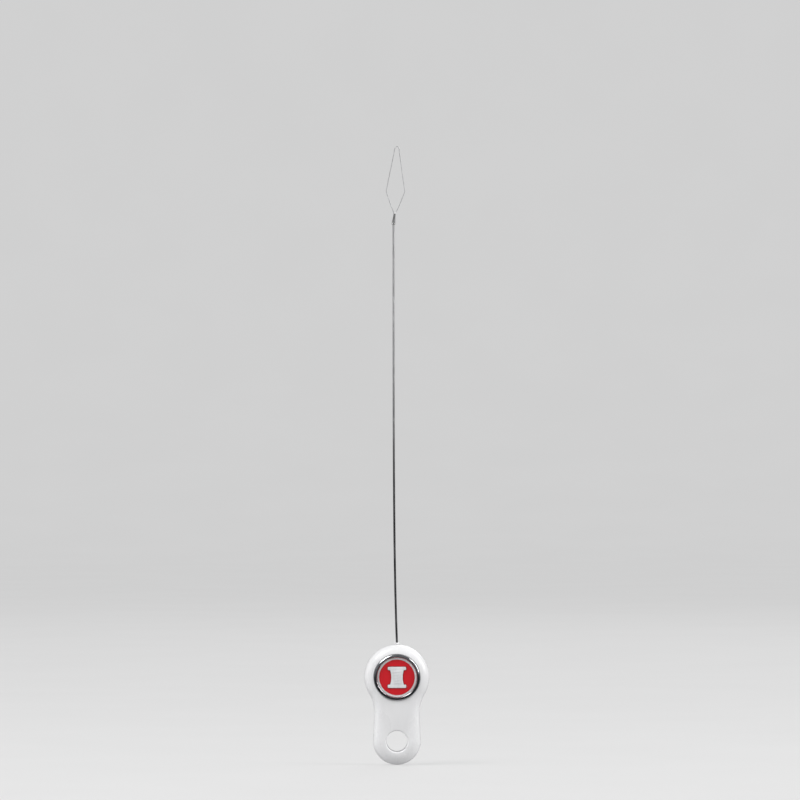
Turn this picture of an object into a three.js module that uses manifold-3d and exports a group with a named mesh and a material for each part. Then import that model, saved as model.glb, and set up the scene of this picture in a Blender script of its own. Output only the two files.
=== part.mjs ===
// Needle threader: a moulded keyhole handle with a round medallion and a hang hole,
// a long fine steel rod, and a loop of hair-fine wire wound onto the rod's pointed tip.
//
// Millimetres, +Z from the handle to the loop, -Y towards the medallion's face, +X to its right.
// The origin is the centre of the handle's head, on the plane where its two shells meet.
// Flat parts are drawn face on (x, up, towards the viewer) and turned upright by faceOn().

import * as THREE from "three";
import { mergeVertices } from "three/addons/utils/BufferGeometryUtils.js";
import Module from "manifold-3d";

// ---------- driving dimensions ----------

const CLEARANCE = 0.04; // between fixed pieces that touch
const RECESS_CLEARANCE = 0.06; // round the medallion in its recess
const PEG_CLEARANCE = { side: 0.05, end: 0.1 };

const HEAD_RADIUS = 8.3;
const WAIST_HALF_WIDTH = 5.8;
const NECK_RADIUS = 9.0; // hollow curve from the head to the waist
const TAIL_RADIUS = 6.1;
const TAIL_Z = -16.35;
const OUTLINE_STEPS = { head: 16, neck: 5, tail: 10 };

const FRONT_DEPTH = 3.4; // shell seam to the front face
const FRONT_ROUND = { wide: 3.0, deep: 2.6, steps: 5 };
const BACK_DEPTH = 2.2; // shell seam to the back face
const BACK_ROUND = { wide: 1.3, deep: 1.1, steps: 3 };
const WALL = 1.4;
const CAVITY_DEPTH = 1.3;

const HANG_HOLE_RADIUS = 2.7;
const HANG_HOLE_Z = -16.4;
const HANG_BOSS_RADIUS = 4.2;
const HANG_CHAMFER = 0.35;
const HANG_SIDES = 40;

const PEG_RADIUS = 0.9;
const PEG_HEIGHT = 1.1;
const PEG_BOSS_RADIUS = 1.8;
const PEG_TIP_SHARE = 0.8; // a peg's tip against its foot
const PEG_PLACES = [
  [-4.3, -3.4],
  [4.3, -3.4],
  [0, -10.6],
];

const MEDALLION_RADIUS = 5.9;
const RECESS_FLOOR = 2.4; // above the seam
const BEZEL_LIP = 0.85; // how wide the chrome ring looks from the front
const BEZEL_CREST = 0.25; // from the lip's inner edge to its highest line
const BEZEL_TOP = 3.95;
const DISC = { radius: 4.98, bottom: 2.57, top: 3.2 };
const PAD = { radius: 4.6, bottom: 2.43, top: 2.54 };
const ENAMEL = { radius: 4.55, bottom: 3.23, top: 3.37 };
const EMBLEM = { bottom: 3.4, top: 3.62 };
const ROUND_SIDES = 48; // facets round the medallion
const EASED_EDGE = 0.05; // on the medallion's flat layers
const SPOOL = { height: 5.4, flangeHalf: 2.35, flangeTall: 0.85, coreHalf: 1.75, waistHalf: 1.45 };
const SPOOL_CHIP = 0.25; // corner taken off each flange
const SPOOL_DIP_STEPS = 5;

const ROD_RADIUS = 0.275;
const ROD_SIDES = 10;
const ROD_EXIT_Z = 8.6; // where the straight part held by the handle ends
const ROD_BOW = 0.87; // how far the rod bends to the left of the handle's axis
const ROD_BOW_HANDLES = { low: 30, high: 62 }; // heights that shape the bow
const ROD_STEPS = { hook: 9, shank: 26 };
const ROD_HOOK = { z: 3.0, reach: 3.2, bend: 0.9 };
const ROD_TIP_RADIUS = 0.1;
const RING_SIDES = 16;
const SOCKET_COLLAR = { outer: 0.62, shoulder: 0.5, crest: 0.395, tall: 0.45 };

const WIRE_RADIUS = 0.1;
const WIRE_SIDES = 8;
const BINDING_BOTTOM = { x: -0.87, z: 116.3 };
const BINDING_TOP = { x: -0.56, z: 118.7 };
const BINDING_TURNS = 4;
const WINDING_STEPS = 48;
const WINDING_SIDES = 6;
const SOLDER = { outer: 0.46, shoulder: 0.43, edge: 0.365, tall: 0.3 };

const LOOP_BASE_Z = 118.85;
const LOOP_BASE_HALF_GAP = 0.23;
const LOOP_LEAN = THREE.MathUtils.degToRad(1.9); // to the right of upright
const LOOP_CORNER = { half: 2.4, up: 5.55 }; // half width, and height above the base
const LOWER_LEG_BOW = 0.2; // how far the middle of a lower leg bulges outwards
const LOWER_LEG_STEPS = 8;
const NOSE = { half: 0.62, up: 15.9, tall: 1.1 };
const NOSE_STEPS = 12;
const PIVOT_GAP = 0.05; // bare length on each side of a flexing bend

// ---------- finishes ----------

const finish = (color, roughness, metalness = 0) =>
  new THREE.MeshStandardMaterial({ color, roughness, metalness });

const WHITE_PLASTIC = () => finish(0xe9e9ea, 0.28);
const CHROME = () => finish(0xd8dade, 0.08, 1);
const SILVER_FACE = () => finish(0xd9dadb, 0.35, 0.8);
const RED_ENAMEL = () => finish(0xc2161f, 0.25);
const ADHESIVE = () => finish(0xd6d2c4, 0.8);
const BRIGHT_STEEL = () => finish(0x8d9094, 0.25, 1);
const FINE_WIRE = () => finish(0x9fa2a6, 0.3, 1);
const SOLDER_METAL = () => finish(0xc9cccf, 0.2, 1);

// ---------- solids ----------

const wasm = await Module();
wasm.setup();

/** A closed three.js geometry as a solid that can be joined and cut. */
function solid(geometry) {
  const bare = geometry.clone();
  bare.deleteAttribute("normal");
  bare.deleteAttribute("uv");
  const merged = mergeVertices(bare, 1e-4);
  return new wasm.Manifold(
    new wasm.Mesh({
      numProp: 3,
      vertProperties: Float32Array.from(merged.attributes.position.array),
      triVerts: Uint32Array.from(merged.index.array),
    }),
  );
}

/** The surface of a solid, as a three.js geometry. */
function surface(body) {
  const mesh = body.getMesh();
  const geometry = new THREE.BufferGeometry();
  geometry.setAttribute("position", new THREE.BufferAttribute(mesh.vertProperties, 3));
  geometry.setIndex(new THREE.BufferAttribute(mesh.triVerts, 1));
  return geometry;
}

const joined = (pieces) => pieces.reduce((whole, piece) => whole.add(piece));
const cut = (body, tools) => tools.reduce((left, tool) => left.subtract(tool), body);

/** Turns a face-on geometry upright: its up becomes +Z and its front becomes -Y. */
const faceOn = (geometry) => geometry.rotateX(Math.PI / 2);

/** Points on a circle's arc, angles in radians. */
function arcPoints(x, y, radius, from, to, steps) {
  return Array.from({ length: steps + 1 }, (_, i) => {
    const angle = from + ((to - from) * i) / steps;
    return new THREE.Vector2(x + radius * Math.cos(angle), y + radius * Math.sin(angle));
  });
}

/** The keyhole outline, drawn in by an inset: head, hollow neck and tail, all tangent. */
function keyhole(inset = 0) {
  const neckX = WAIST_HALF_WIDTH + NECK_RADIUS;
  const neckY = -Math.sqrt((HEAD_RADIUS + NECK_RADIUS) ** 2 - neckX ** 2);
  const headEnd = Math.atan2(neckY, neckX);
  const apart = Math.hypot(neckX, neckY - TAIL_Z);
  const tailStart =
    Math.atan2(neckY - TAIL_Z, neckX) - Math.acos((NECK_RADIUS + TAIL_RADIUS) / apart);
  const { head, neck, tail } = OUTLINE_STEPS;
  const hollow = [NECK_RADIUS + inset, headEnd + Math.PI, tailStart + Math.PI];
  const right = [
    ...arcPoints(0, 0, HEAD_RADIUS - inset, Math.PI / 2, headEnd, head),
    ...arcPoints(neckX, neckY, ...hollow, neck).slice(1),
    ...arcPoints(0, TAIL_Z, TAIL_RADIUS - inset, tailStart, -Math.PI / 2, tail),
  ];
  const left = right.slice(1, -1).reverse();
  return new THREE.Shape([...right, ...left.map((p) => new THREE.Vector2(-p.x, p.y))]);
}

/** A slab with the keyhole outline, the same on both sides of the seam, with rounded rims. */
function roundedSlab(halfDepth, round) {
  const depth = 2 * (halfDepth - round.deep);
  const geometry = new THREE.ExtrudeGeometry(keyhole(), {
    depth,
    bevelEnabled: true,
    bevelSize: round.wide,
    bevelThickness: round.deep,
    bevelOffset: -round.wide,
    bevelSegments: round.steps,
  });
  return solid(geometry.translate(0, 0, -depth / 2));
}

/** A shape extruded between two heights above the seam. */
function plate(shape, bottom, top) {
  const geometry = new THREE.ExtrudeGeometry(shape, { depth: top - bottom, bevelEnabled: false });
  return solid(geometry.translate(0, 0, bottom));
}

/** A round post or cutter standing on the seam, between two heights. */
function post(x, y, radius, bottom, top, topRadius = radius, sides = 32) {
  const geometry = new THREE.CylinderGeometry(topRadius, radius, top - bottom, sides);
  return solid(geometry.rotateX(Math.PI / 2).translate(x, y, (bottom + top) / 2));
}

/** A box between two heights that covers everything in the other directions. */
function layer(bottom, top) {
  const geometry = new THREE.BoxGeometry(100, 100, top - bottom);
  return solid(geometry.translate(0, 0, (bottom + top) / 2));
}

/** A solid of revolution about +Z from the [radius, height] points of its closed section. */
function turned(profile, sides) {
  const points = profile.map(([radius, height]) => new THREE.Vector2(radius, height));
  return new THREE.LatheGeometry(points, sides).rotateX(Math.PI / 2);
}

/** A small ring that clears the rod, with its foot at a place on the rod. */
function ringOnRod(outside, place) {
  const inner = ROD_RADIUS + CLEARANCE;
  const profile = [[inner, 0], ...outside, [inner, outside.at(-1)[1]], [inner, 0]];
  return turned(profile, RING_SIDES).translate(place.x, place.y, place.z);
}

/** A wire along a curve, whose many-sided section has the area of the round one. */
function wire(path, radius, steps, sides) {
  const corner = radius * Math.sqrt((2 * Math.PI) / (sides * Math.sin((2 * Math.PI) / sides)));
  const section = new THREE.Shape(arcPoints(0, 0, corner, 0, 2 * Math.PI, sides).slice(0, -1));
  return new THREE.ExtrudeGeometry(section, { steps, extrudePath: path, bevelEnabled: false });
}

// ---------- curves ----------

const at = (x, z) => new THREE.Vector3(x, 0, z);

/** A point of the loop, from its own sideways and upward distances, in the leaning loop's place. */
function loopPoint(side, up) {
  const x = BINDING_TOP.x + side * Math.cos(LOOP_LEAN) + up * Math.sin(LOOP_LEAN);
  return at(x, LOOP_BASE_Z + up * Math.cos(LOOP_LEAN) - side * Math.sin(LOOP_LEAN));
}

/** The loop's rounded nose: a tall half ellipse from the left pivot over the top to the right one. */
class NoseArch extends THREE.Curve {
  getPoint(t, target = new THREE.Vector3()) {
    const trim = PIVOT_GAP / NOSE.tall;
    const angle = Math.PI - trim - (Math.PI - 2 * trim) * t;
    return target.copy(loopPoint(NOSE.half * Math.cos(angle), NOSE.up + NOSE.tall * Math.sin(angle)));
  }
}

/** A helix that climbs a leaning cone, ending at a given angle. */
class Winding extends THREE.Curve {
  constructor(start, end, startRadius, endRadius, turns, endAngle) {
    super();
    Object.assign(this, { start, end, startRadius, endRadius, turns, endAngle });
  }

  getPoint(t, target = new THREE.Vector3()) {
    const angle = this.endAngle - (1 - t) * this.turns * 2 * Math.PI;
    const radius = THREE.MathUtils.lerp(this.startRadius, this.endRadius, t);
    target.lerpVectors(this.start, this.end, t);
    target.x += radius * Math.cos(angle);
    target.y += radius * Math.sin(angle);
    return target;
  }
}

// ---------- rod ----------

const rodTipBase = at(BINDING_BOTTOM.x, BINDING_BOTTOM.z);
const rodTip = at(BINDING_TOP.x, BINDING_TOP.z);
const hookTop = at(0, ROD_HOOK.z + ROD_HOOK.bend);
const rodExit = at(0, ROD_EXIT_Z);
const shankPath = new THREE.CubicBezierCurve3(
  rodExit,
  at(-ROD_BOW, ROD_BOW_HANDLES.low),
  at(-ROD_BOW, ROD_BOW_HANDLES.high),
  rodTipBase,
);

/** The bent-over lower end, which the shells hold: it keeps the rod from pulling out or turning. */
function hookPath() {
  const path = new THREE.CurvePath();
  const elbow = at(0, ROD_HOOK.z);
  path.add(new THREE.LineCurve3(at(ROD_HOOK.reach, ROD_HOOK.z), at(ROD_HOOK.bend, ROD_HOOK.z)));
  path.add(new THREE.QuadraticBezierCurve3(at(ROD_HOOK.bend, ROD_HOOK.z), elbow, hookTop));
  return path;
}

/** The rod inside the handle, at a radius of its own, for the rod itself and for its groove. */
function rodInHandle(radius) {
  const hook = wire(hookPath(), radius, ROD_STEPS.hook, ROD_SIDES);
  const straight = wire(new THREE.LineCurve3(at(0, hookTop.z - radius / 2), rodExit), radius, 1, ROD_SIDES);
  return joined([solid(hook), solid(straight)]);
}

function rodGeometry() {
  const shank = wire(shankPath, ROD_RADIUS, ROD_STEPS.shank, ROD_SIDES);
  const lean = rodTip.clone().sub(rodTipBase);
  const tip = new THREE.CylinderGeometry(ROD_TIP_RADIUS, ROD_RADIUS, lean.length(), ROD_SIDES);
  tip.applyQuaternion(
    new THREE.Quaternion().setFromUnitVectors(new THREE.Vector3(0, 1, 0), lean.clone().normalize()),
  );
  const middle = rodTipBase.clone().add(rodTip).multiplyScalar(0.5);
  tip.translate(middle.x, 0, middle.z);
  return surface(joined([rodInHandle(ROD_RADIUS), solid(shank), solid(tip)]));
}

/** The little moulded-in ring where the rod leaves the handle's crown. */
function collarGeometry() {
  const { outer, shoulder, crest, tall } = SOCKET_COLLAR;
  const outside = [
    [outer, 0],
    [outer, tall * 0.4],
    [shoulder, tall * 0.8],
    [crest, tall],
  ];
  return ringOnRod(outside, at(0, HEAD_RADIUS + CLEARANCE));
}

// ---------- handle ----------

const groove = () => faceDown(rodInHandle(ROD_RADIUS + CLEARANCE));

/** Brings an upright solid into the face-on frame in which the shells are cut. */
function faceDown(body) {
  return body.rotate([-90, 0, 0]);
}

const hangHole = () => post(0, HANG_HOLE_Z, HANG_HOLE_RADIUS, -10, 10, HANG_HOLE_RADIUS, HANG_SIDES);

/** The broken edge round one mouth of the hang hole; side is 1 in front and -1 behind. */
function hangChamfer(face, side) {
  const wide = HANG_HOLE_RADIUS + HANG_CHAMFER;
  const low = face - side * HANG_CHAMFER;
  return side > 0
    ? post(0, HANG_HOLE_Z, HANG_HOLE_RADIUS, low, face, wide, HANG_SIDES)
    : post(0, HANG_HOLE_Z, wide, face, low, HANG_HOLE_RADIUS, HANG_SIDES);
}

function frontShell() {
  const above = CAVITY_DEPTH + 1;
  const cavity = cut(plate(keyhole(WALL), -1, CAVITY_DEPTH), [
    post(0, HANG_HOLE_Z, HANG_BOSS_RADIUS, -2, above),
    ...PEG_PLACES.map(([x, y]) => post(x, y, PEG_BOSS_RADIUS, -2, above)),
  ]);
  const sockets = PEG_PLACES.map(([x, y]) =>
    post(x, y, PEG_RADIUS + PEG_CLEARANCE.side, -1, PEG_HEIGHT + PEG_CLEARANCE.end),
  );
  const recess = post(0, 0, MEDALLION_RADIUS + RECESS_CLEARANCE, RECESS_FLOOR, FRONT_DEPTH + 1);
  const outside = roundedSlab(FRONT_DEPTH, FRONT_ROUND).intersect(layer(CLEARANCE, FRONT_DEPTH + 1));
  const body = cut(outside, [cavity, ...sockets, recess, hangHole(), hangChamfer(FRONT_DEPTH, 1), groove()]);
  return faceOn(surface(body));
}

function backCover() {
  const outside = roundedSlab(BACK_DEPTH, BACK_ROUND).intersect(layer(-BACK_DEPTH - 1, 0));
  const pegs = PEG_PLACES.map(([x, y]) =>
    post(x, y, PEG_RADIUS, -PEG_HEIGHT / 2, PEG_HEIGHT, PEG_RADIUS * PEG_TIP_SHARE),
  );
  const body = cut(joined([outside, ...pegs]), [hangHole(), hangChamfer(-BACK_DEPTH, -1), groove()]);
  return faceOn(surface(body));
}

// ---------- medallion ----------

/** The chrome ring: a lip that rounds outwards over a straight wall that stands in the recess. */
function bezelGeometry() {
  const inner = DISC.radius + CLEARANCE;
  const outer = MEDALLION_RADIUS;
  const crest = outer - BEZEL_LIP + BEZEL_CREST;
  const spring = BEZEL_TOP - BEZEL_LIP / 2;
  const lip = arcPoints(0, 0, 1, 0, Math.PI, 8).map(({ x, y }) => [
    crest + x * (x > 0 ? outer - crest : BEZEL_CREST),
    spring + (y * BEZEL_LIP) / 2,
  ]);
  const profile = [
    [inner, RECESS_FLOOR + CLEARANCE],
    [outer, RECESS_FLOOR + CLEARANCE],
    ...lip,
    [inner, spring],
    [inner, RECESS_FLOOR + CLEARANCE],
  ];
  return faceOn(turned(profile, ROUND_SIDES));
}

/** A flat round layer of the medallion with a slightly eased upper edge. */
function layerGeometry({ radius, bottom, top }) {
  const profile = [
    [0, bottom],
    [radius, bottom],
    [radius, top - EASED_EDGE],
    [radius - EASED_EDGE, top],
    [0, top],
  ];
  return faceOn(turned(profile, ROUND_SIDES));
}

/** A spool of thread seen from the side: two flanges, and a wound core that dips in the middle. */
function spoolShape() {
  const { height, flangeHalf, flangeTall, coreHalf, waistHalf } = SPOOL;
  const top = height / 2;
  const core = top - flangeTall;
  const flange = [
    [flangeHalf - SPOOL_CHIP, top],
    [flangeHalf, top - SPOOL_CHIP],
    [flangeHalf, core + SPOOL_CHIP],
    [flangeHalf - SPOOL_CHIP, core],
    [coreHalf, core],
  ];
  const right = [...flange];
  for (let i = 1; i < SPOOL_DIP_STEPS; i += 1) {
    const y = core - (2 * core * i) / SPOOL_DIP_STEPS;
    right.push([waistHalf + (coreHalf - waistHalf) * (y / core) ** 2, y]);
  }
  const lower = flange.map(([x, y]) => [x, -y]);
  const side = [...right, ...lower.reverse()];
  const other = side.map(([x, y]) => [-x, y]).reverse();
  return new THREE.Shape([...side, ...other].map(([x, y]) => new THREE.Vector2(x, y)));
}

function emblemGeometry() {
  return faceOn(surface(plate(spoolShape(), EMBLEM.bottom, EMBLEM.top)));
}

// ---------- loop ----------

/** A leg between two pivots, stopping short of each, with its middle pushed sideways by a bow. */
function legGeometry(from, to, bow = 0) {
  const along = to.clone().sub(from).setLength(PIVOT_GAP);
  const middle = from.clone().add(to).multiplyScalar(0.5);
  const across = at(along.z, -along.x).setLength(2 * Math.abs(bow) || 1).multiplyScalar(Math.sign(bow));
  const path = new THREE.QuadraticBezierCurve3(
    from.clone().add(along),
    middle.add(across),
    to.clone().sub(along),
  );
  return wire(path, WIRE_RADIUS, bow ? LOWER_LEG_STEPS : 1, WIRE_SIDES);
}

function windingGeometry(endAngle) {
  const clear = WIRE_RADIUS + CLEARANCE;
  const path = new Winding(
    rodTipBase,
    rodTip,
    ROD_RADIUS + clear,
    ROD_TIP_RADIUS + clear,
    BINDING_TURNS,
    endAngle,
  );
  return wire(path, WIRE_RADIUS, WINDING_STEPS, WINDING_SIDES);
}

function solderGeometry() {
  const { outer, shoulder, edge, tall } = SOLDER;
  const outside = [
    [edge, 0],
    [outer, tall * 0.5],
    [shoulder, tall * 0.85],
    [edge, tall],
  ];
  const low = BINDING_BOTTOM.z - WIRE_RADIUS - CLEARANCE - tall;
  return ringOnRod(outside, at(BINDING_BOTTOM.x, low));
}

const baseLeft = loopPoint(-LOOP_BASE_HALF_GAP, 0);
const baseRight = loopPoint(LOOP_BASE_HALF_GAP, 0);
const cornerLeft = loopPoint(-LOOP_CORNER.half, LOOP_CORNER.up);
const cornerRight = loopPoint(LOOP_CORNER.half, LOOP_CORNER.up);
const noseLeft = loopPoint(-NOSE.half, NOSE.up);
const noseRight = loopPoint(NOSE.half, NOSE.up);

// ---------- assembly ----------

const threader = new THREE.Group();

const pieces = {
  handle_front_shell: [frontShell(), WHITE_PLASTIC()],
  handle_back_cover: [backCover(), WHITE_PLASTIC()],
  medallion_bezel: [bezelGeometry(), CHROME()],
  medallion_adhesive_pad: [layerGeometry(PAD), ADHESIVE()],
  medallion_disc: [layerGeometry(DISC), SILVER_FACE()],
  medallion_enamel: [layerGeometry(ENAMEL), RED_ENAMEL()],
  medallion_spool_emblem: [emblemGeometry(), SILVER_FACE()],
  rod: [rodGeometry(), BRIGHT_STEEL()],
  rod_socket_collar: [collarGeometry(), WHITE_PLASTIC()],
  binding_solder_bead: [solderGeometry(), SOLDER_METAL()],
  binding_winding_left: [windingGeometry(Math.PI), FINE_WIRE()],
  binding_winding_right: [windingGeometry(0), FINE_WIRE()],
  loop_lower_left_leg: [legGeometry(baseLeft, cornerLeft, -LOWER_LEG_BOW), FINE_WIRE()],
  loop_upper_left_leg: [legGeometry(cornerLeft, noseLeft), FINE_WIRE()],
  loop_nose: [wire(new NoseArch(), WIRE_RADIUS, NOSE_STEPS, WIRE_SIDES), FINE_WIRE()],
  loop_upper_right_leg: [legGeometry(noseRight, cornerRight), FINE_WIRE()],
  loop_lower_right_leg: [legGeometry(cornerRight, baseRight, -LOWER_LEG_BOW), FINE_WIRE()],
};

for (const [name, [geometry, material]] of Object.entries(pieces)) {
  const mesh = new THREE.Mesh(geometry, material);
  mesh.name = name;
  threader.add(mesh);
}

export default threader;
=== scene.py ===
"""The looks of a needle threader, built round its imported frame.

A white keyhole-shaped handle in two moulded shells, a chrome-ringed medallion, a long steel rod,
and a loop of hair-fine wire bound to the rod's tip. Shapes are worked out in millimetres in the
row frame, +Z towards the loop and -Y out of the medallion, and reach Blender in metres.
"""

import logging
import math
from collections.abc import Callable, Iterable, Sequence
from dataclasses import dataclass, field
from enum import Enum

import bpy
import bmesh
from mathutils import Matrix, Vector
from mathutils.geometry import delaunay_2d_cdt


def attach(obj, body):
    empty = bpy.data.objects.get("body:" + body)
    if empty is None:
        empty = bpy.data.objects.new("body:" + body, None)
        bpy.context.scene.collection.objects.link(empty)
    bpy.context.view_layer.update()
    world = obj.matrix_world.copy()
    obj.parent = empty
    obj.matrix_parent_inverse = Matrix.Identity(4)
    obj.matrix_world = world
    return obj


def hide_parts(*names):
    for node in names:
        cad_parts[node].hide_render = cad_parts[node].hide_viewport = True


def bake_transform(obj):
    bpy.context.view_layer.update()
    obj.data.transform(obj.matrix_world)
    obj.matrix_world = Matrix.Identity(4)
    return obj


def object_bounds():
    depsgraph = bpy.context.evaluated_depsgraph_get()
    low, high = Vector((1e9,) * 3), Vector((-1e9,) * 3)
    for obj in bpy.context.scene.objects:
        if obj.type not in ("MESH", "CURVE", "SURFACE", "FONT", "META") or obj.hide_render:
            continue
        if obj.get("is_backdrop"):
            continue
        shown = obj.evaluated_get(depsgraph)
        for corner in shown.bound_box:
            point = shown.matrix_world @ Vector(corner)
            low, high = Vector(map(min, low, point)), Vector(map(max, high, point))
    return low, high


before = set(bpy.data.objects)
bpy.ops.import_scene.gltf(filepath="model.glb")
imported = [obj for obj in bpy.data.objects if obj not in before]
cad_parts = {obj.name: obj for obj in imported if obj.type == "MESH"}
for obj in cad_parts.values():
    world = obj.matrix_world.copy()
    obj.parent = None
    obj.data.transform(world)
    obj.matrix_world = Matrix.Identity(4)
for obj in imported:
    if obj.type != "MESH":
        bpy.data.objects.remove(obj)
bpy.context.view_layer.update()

log = logging.getLogger("needle_threader")
MM = 0.001  # a millimetre in metres
TINY = 1e-6  # a length that counts as none
Flat = tuple[float, float]
Colour = tuple[float, float, float]
Piece = bpy.types.Object
Socket = bpy.types.NodeSocket
Sockets = bpy.types.bpy_prop_collection
Place = Callable[[float, float, float], Vector]


class Body(str, Enum):
    """The bodies that pieces ride on."""

    HANDLE = "handle_and_rod"
    LOWER_LEFT = "loop_lower_left"
    UPPER_LEFT = "loop_upper_left"
    NOSE = "loop_nose"
    LOWER_RIGHT = "loop_lower_right"
    UPPER_RIGHT = "loop_upper_right"


class Slot(str, Enum):
    """The record's material slots."""

    PLASTIC = "handle_plastic"
    CHROME = "bezel_chrome"
    ADHESIVE = "adhesive"
    SILVER = "silver_face"
    ENAMEL = "red_enamel"
    EMBLEM = "emblem_silver"
    STEEL = "rod_steel"
    SOLDER = "solder"
    WIRE = "fine_wire"


# ---------- mesh work ----------


def arc(centre: Flat, radius: float, start: float, end: float, steps: int) -> list[Flat]:
    """Points along a circle's arc.

    Args:
        centre: the circle's centre.
        radius: its radius.
        start: the first angle, in radians.
        end: the last angle, in radians.
        steps: how many stretches the arc is divided into.

    Returns:
        steps + 1 points.
    """
    turns = [start + (end - start) * i / steps for i in range(steps + 1)]
    return [(centre[0] + radius * math.cos(a), centre[1] + radius * math.sin(a)) for a in turns]


def circle(centre: Flat, radius: float, sides: int) -> list[Flat]:
    """Points round a whole circle, each once."""
    return arc(centre, radius, 0, math.tau, sides)[:-1]


def around(radius: float, angle: float, up: float) -> Vector:
    """A point round the upright axis."""
    return Vector((radius * math.cos(angle), radius * math.sin(angle), up))


def bezier(corners: Sequence[Vector], steps: int, start: float = 0.0, end: float = 1.0) -> list[Vector]:
    """Points along a Bezier curve of any degree.

    Args:
        corners: the control points.
        steps: how many stretches the curve is divided into.
        start: the share of the curve at which the points start.
        end: the share at which they end.

    Returns:
        steps + 1 points.
    """
    points = []
    for i in range(steps + 1):
        t = start + (end - start) * i / steps
        row = list(corners)
        while len(row) > 1:
            row = [a.lerp(b, t) for a, b in zip(row, row[1:])]
        points.append(row[0])
    return points


def bridge(
    before: Sequence[Vector], after: Sequence[Vector], steps: int = 12, reach: float = 0.36
) -> list[Vector]:
    """A smooth stretch from the end of one path to the start of the next.

    Args:
        before: the path that leads in.
        after: the path that leads out.
        steps: how many stretches it has.
        reach: how far each end runs straight on, as a share of the gap.

    Returns:
        points from the last of before to the first of after.
    """
    start, end = before[-1], after[0]
    span = (end - start).length * reach
    leave = (start - before[-2]).normalized() * span
    arrive = (after[1] - end).normalized() * span
    return bezier((start, start + leave, end - arrive, end), steps)


def face_on(x: float, up: float, out: float) -> Vector:
    """A point drawn face on: x to the right, up, and out towards the viewer."""
    return Vector((x, -out, up))


def encloses(rim: Sequence[Flat], x: float, y: float) -> bool:
    """Whether a point lies inside a closed outline.

    Args:
        rim: the outline's points.
        x: the point's first coordinate.
        y: its second coordinate.

    Returns:
        True inside, False outside.
    """
    inside = False
    for (ax, ay), (bx, by) in zip(rim, [*rim[1:], rim[0]]):
        if (ay > y) != (by > y) and x < ax + (y - ay) / (by - ay) * (bx - ax):
            inside = not inside
    return inside


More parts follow.
